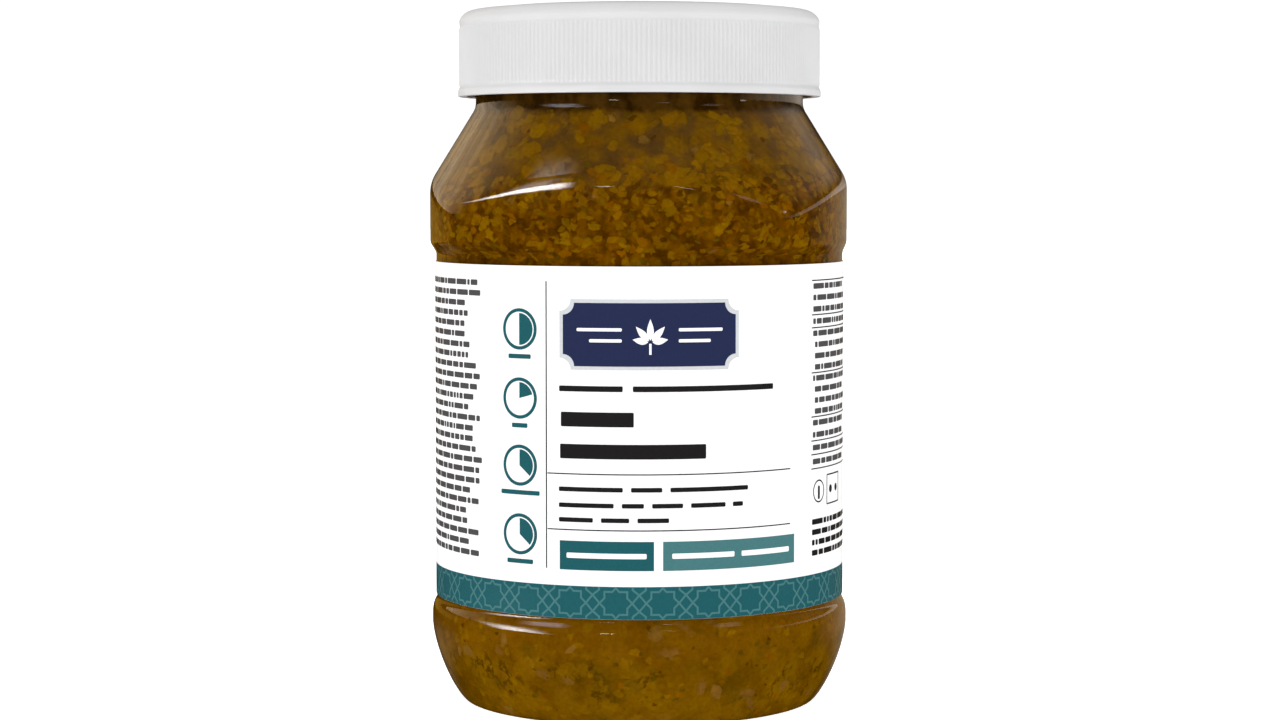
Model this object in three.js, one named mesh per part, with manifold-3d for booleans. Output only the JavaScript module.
// A shut jar of chunky aubergine dip: a clear plastic jar with a soft-square
// shoulder, a ribbed screw lid, a paper label round its waist, and the dip.
// Millimetres, +Z up, origin at the centre of the foot, front towards -Y.

import * as THREE from "three";
import { mergeVertices } from "three/addons/utils/BufferGeometryUtils.js";
import Module from "manifold-3d";

// Fineness of the round shapes
const SEGMENTS = 60;
const CORNER_STEPS = 7;
const RECESS_STEPS = 3;
const CREASE_STEPS = 2;

// Walls and clearances
const JAR_WALL = 1.0;
const GAP = 0.3;

// Jar, from the foot up: radii and heights
const FOOT = { inner: 33.0, outer: 40.8, recess: 3.0 };
const BASE_CORNER = { top: 18.0, sidePower: 1.26, footPower: 1.5 };
const LOWER_BUMPER = { radius: 48.25, top: 21.6 };
const PANEL = { radius: 46.85, bottom: 23.8, top: 103.6 };
const UPPER_BUMPER = { bottom: 105.9, faceRadius: 48.05, arcRadius: 73.0 };
const BUMPER_TURN = THREE.MathUtils.degToRad(-7);
const BUMPER_CORNER_SOFTNESS = THREE.MathUtils.degToRad(6);
const SHOULDER = { flare: 0.615, blend: 1.6 };
const NECK = { radius: 37.85, bottom: 136.9, top: 140.4 };
const FINISH = { radius: 39.3, bottom: 141.2, rim: 156.7, edge: 0.6 };

// Dip: its level in the neck, under the lid
const FILL_LEVEL = 150.0;

// Label: a thin sleeve round the panel
const LABEL = { thickness: 0.25, bottom: 24.6, top: 101.6 };

// Lid
const LID = { bottom: 139.4, top: 159.7, skirtInner: 40.0, wall: 41.2 };
const BEAD = { radius: 42.0, top: 141.0, shoulder: 0.3 };
const RIBS = { count: 240, valley: 41.25, crest: 41.7, bottom: 140.8, top: 155.1 };
const LID_CORNER = { start: 155.9, width: 3.0, height: 3.1, power: 1.7, steps: 4 };
const LID_DISH = { radius: 33.5, slopeTop: 159.6 };
const LID_LAND = { radius: 35.5, height: 157.0, chamfer: 1.0 };
const LID_PANEL = { radius: 33.0, height: 158.2 };
const RIB_RING_INNER = 40.6;

const at = (radius, height) => new THREE.Vector2(radius, height);

// Radius of the upper bumper: four arcs flatter than a circle, whose meetings
// are softened. The angle is taken from the nearest face's middle.
function bumperRadius(angle) {
  const quarter = Math.PI / 2;
  const turned = angle - BUMPER_TURN;
  const fromFace = Math.abs(turned - quarter * Math.round(turned / quarter));
  const fromCorner = Math.hypot(quarter / 2 - fromFace, BUMPER_CORNER_SOFTNESS);
  const eased = quarter / 2 - fromCorner;
  const offset = UPPER_BUMPER.arcRadius - UPPER_BUMPER.faceRadius;
  const across = offset * Math.sin(eased);
  return Math.sqrt(UPPER_BUMPER.arcRadius ** 2 - across ** 2) - offset * Math.cos(eased);
}

// The push-up under the jar, from the axis out to the foot ring
function footRecess() {
  return Array.from({ length: RECESS_STEPS }, (_, i) => {
    const share = i / RECESS_STEPS;
    return at(FOOT.inner * share, FOOT.recess * Math.cos((share * Math.PI) / 2));
  });
}

// The round corner from the foot ring up to the lower bumper
function baseCorner() {
  const { top, sidePower, footPower } = BASE_CORNER;
  const reach = LOWER_BUMPER.radius - FOOT.outer;
  return Array.from({ length: CORNER_STEPS + 1 }, (_, i) => {
    const turn = ((i / CORNER_STEPS) * Math.PI) / 2;
    const out = Math.sin(turn) ** (2 / sidePower);
    const down = Math.cos(turn) ** (2 / footPower);
    return at(FOOT.outer + reach * out, top * (1 - down));
  });
}

// The blended crease where the shoulder cone meets the bumper's wall
function shoulderCrease(bumper) {
  const { flare, blend } = SHOULDER;
  const height = NECK.bottom - (bumper - NECK.radius) / flare;
  const crease = at(bumper, height);
  const below = at(bumper, height - blend);
  const rise = blend / Math.hypot(1, flare);
  const above = at(bumper - rise * flare, height + rise);
  const curve = new THREE.QuadraticBezierCurve(below, crease, above);
  return curve.getPoints(CREASE_STEPS);
}

// The jar's outer section from the axis up to the top of the neck
function outerSection(angle) {
  const bumper = bumperRadius(angle);
  return [
    ...footRecess(),
    at(FOOT.inner, 0),
    ...baseCorner(),
    at(LOWER_BUMPER.radius, LOWER_BUMPER.top),
    at(PANEL.radius, PANEL.bottom),
    at(PANEL.radius, PANEL.top),
    at(bumper, UPPER_BUMPER.bottom),
    ...shoulderCrease(bumper),
    at(NECK.radius, NECK.bottom),
    at(NECK.radius, NECK.top),
  ];
}

// A section moved inwards by a depth, square to its own line
function inset(section, depth) {
  return section.map((point, i) => {
    if (i === 0) return at(0, point.y + depth);
    const before = section[i - 1];
    const after = section[Math.min(i + 1, section.length - 1)];
    const along = after.clone().sub(before).normalize();
    return at(point.x - depth * along.y, point.y + depth * along.x);
  });
}

function jarSection(angle) {
  const outer = outerSection(angle);
  const bore = NECK.radius - JAR_WALL;
  const { radius, bottom, rim, edge } = FINISH;
  return [
    ...outer,
    at(radius, bottom),
    at(radius, rim - edge),
    at(radius - edge, rim),
    at(bore, rim),
    ...inset(outer, JAR_WALL).reverse(),
  ];
}

function dipSection(angle) {
  const inner = inset(outerSection(angle), JAR_WALL + GAP);
  const neck = NECK.radius - JAR_WALL - GAP;
  return [...inner, at(neck, FILL_LEVEL), at(0, FILL_LEVEL)];
}

function labelSection() {
  const inner = PANEL.radius + GAP;
  const outer = inner + LABEL.thickness;
  return [
    at(inner, LABEL.bottom),
    at(outer, LABEL.bottom),
    at(outer, LABEL.top),
    at(inner, LABEL.top),
    at(inner, LABEL.bottom),
  ];
}

// The lid without its ribs: bead, skirt, round corner, shallow dish, hollow
function lidSection() {
  const { bottom, top, skirtInner, wall } = LID;
  const { start, width, height, power, steps } = LID_CORNER;
  const corner = Array.from({ length: steps + 1 }, (_, i) => {
    const turn = ((i / steps) * Math.PI) / 2;
    const out = width * Math.cos(turn) ** (2 / power);
    const up = height * Math.sin(turn) ** (2 / power);
    return at(wall - width + out, start + up);
  });
  return [
    at(skirtInner, bottom),
    at(BEAD.radius, bottom),
    at(BEAD.radius, BEAD.top - BEAD.shoulder),
    at(wall, BEAD.top),
    ...corner,
    at(LID_DISH.radius, LID_DISH.slopeTop),
    at(0, top),
    at(0, LID_PANEL.height),
    at(LID_PANEL.radius, LID_PANEL.height),
    at(LID_LAND.radius, LID_LAND.height),
    at(skirtInner - LID_LAND.chamfer, LID_LAND.height),
    at(skirtInner, LID_LAND.height - LID_LAND.chamfer),
    at(skirtInner, bottom),
  ];
}

// A section turned about Z. The section may change with the angle, and keeps
// its number of points.
function turned(sectionAt) {
  const geometry = new THREE.LatheGeometry(sectionAt(0), SEGMENTS);
  const position = geometry.attributes.position;
  const count = sectionAt(0).length;
  for (let i = 0; i <= SEGMENTS; i++) {
    const angle = ((i % SEGMENTS) / SEGMENTS) * 2 * Math.PI;
    sectionAt(angle).forEach((point, j) => {
      const x = point.x * Math.sin(angle);
      const y = -point.x * Math.cos(angle);
      position.setXYZ(i * count + j, x, y, point.y);
    });
  }
  return geometry;
}

// The ring of grip ribs round the lid
function ribRing() {
  const outline = Array.from({ length: 2 * RIBS.count }, (_, i) => {
    const radius = i % 2 ? RIBS.crest : RIBS.valley;
    const angle = (i / RIBS.count) * Math.PI;
    return at(radius * Math.cos(angle), radius * Math.sin(angle));
  });
  const shape = new THREE.Shape(outline);
  const hole = Array.from({ length: SEGMENTS }, (_, i) => {
    const angle = (-i / SEGMENTS) * 2 * Math.PI;
    return at(RIB_RING_INNER * Math.cos(angle), RIB_RING_INNER * Math.sin(angle));
  });
  shape.holes.push(new THREE.Path(hole));
  const depth = RIBS.top - RIBS.bottom;
  const geometry = new THREE.ExtrudeGeometry(shape, { depth, bevelEnabled: false });
  return geometry.translate(0, 0, RIBS.bottom);
}

const manifold = await Module();
manifold.setup();

function toSolid(geometry) {
  const bare = geometry.clone();
  bare.deleteAttribute("normal");
  bare.deleteAttribute("uv");
  const merged = mergeVertices(bare);
  const vertProperties = new Float32Array(merged.attributes.position.array);
  const triVerts = new Uint32Array(merged.index.array);
  return new manifold.Manifold(new manifold.Mesh({ numProp: 3, vertProperties, triVerts }));
}

function toGeometry(solid) {
  const { vertProperties, triVerts } = solid.getMesh();
  const geometry = new THREE.BufferGeometry();
  geometry.setAttribute("position", new THREE.BufferAttribute(vertProperties, 3));
  geometry.setIndex(new THREE.BufferAttribute(triVerts, 1));
  geometry.computeVertexNormals();
  return geometry;
}

function lidGeometry() {
  const body = toSolid(turned(lidSection));
  return toGeometry(body.add(toSolid(ribRing())));
}

function piece(name, geometry, look) {
  const mesh = new THREE.Mesh(geometry, new THREE.MeshStandardMaterial(look));
  mesh.name = name;
  return mesh;
}

const CLEAR_PLASTIC = {
  color: 0xd9d4cc, roughness: 0.08, metalness: 0, transparent: true, opacity: 0.3,
};
const WHITE_PLASTIC = { color: 0xe9e9ea, roughness: 0.45, metalness: 0 };
const LABEL_PAPER = { color: 0xfcfcfc, roughness: 0.4, metalness: 0 };
const DIP_PASTE = { color: 0x6b4407, roughness: 0.35, metalness: 0 };

const jar = new THREE.Group();
jar.name = "dip_jar";
jar.add(
  piece("jar", turned(jarSection), CLEAR_PLASTIC),
  piece("lid", lidGeometry(), WHITE_PLASTIC),
  piece("label", turned(labelSection), LABEL_PAPER),
  piece("dip", turned(dipSection), DIP_PASTE),
);

export default jar;
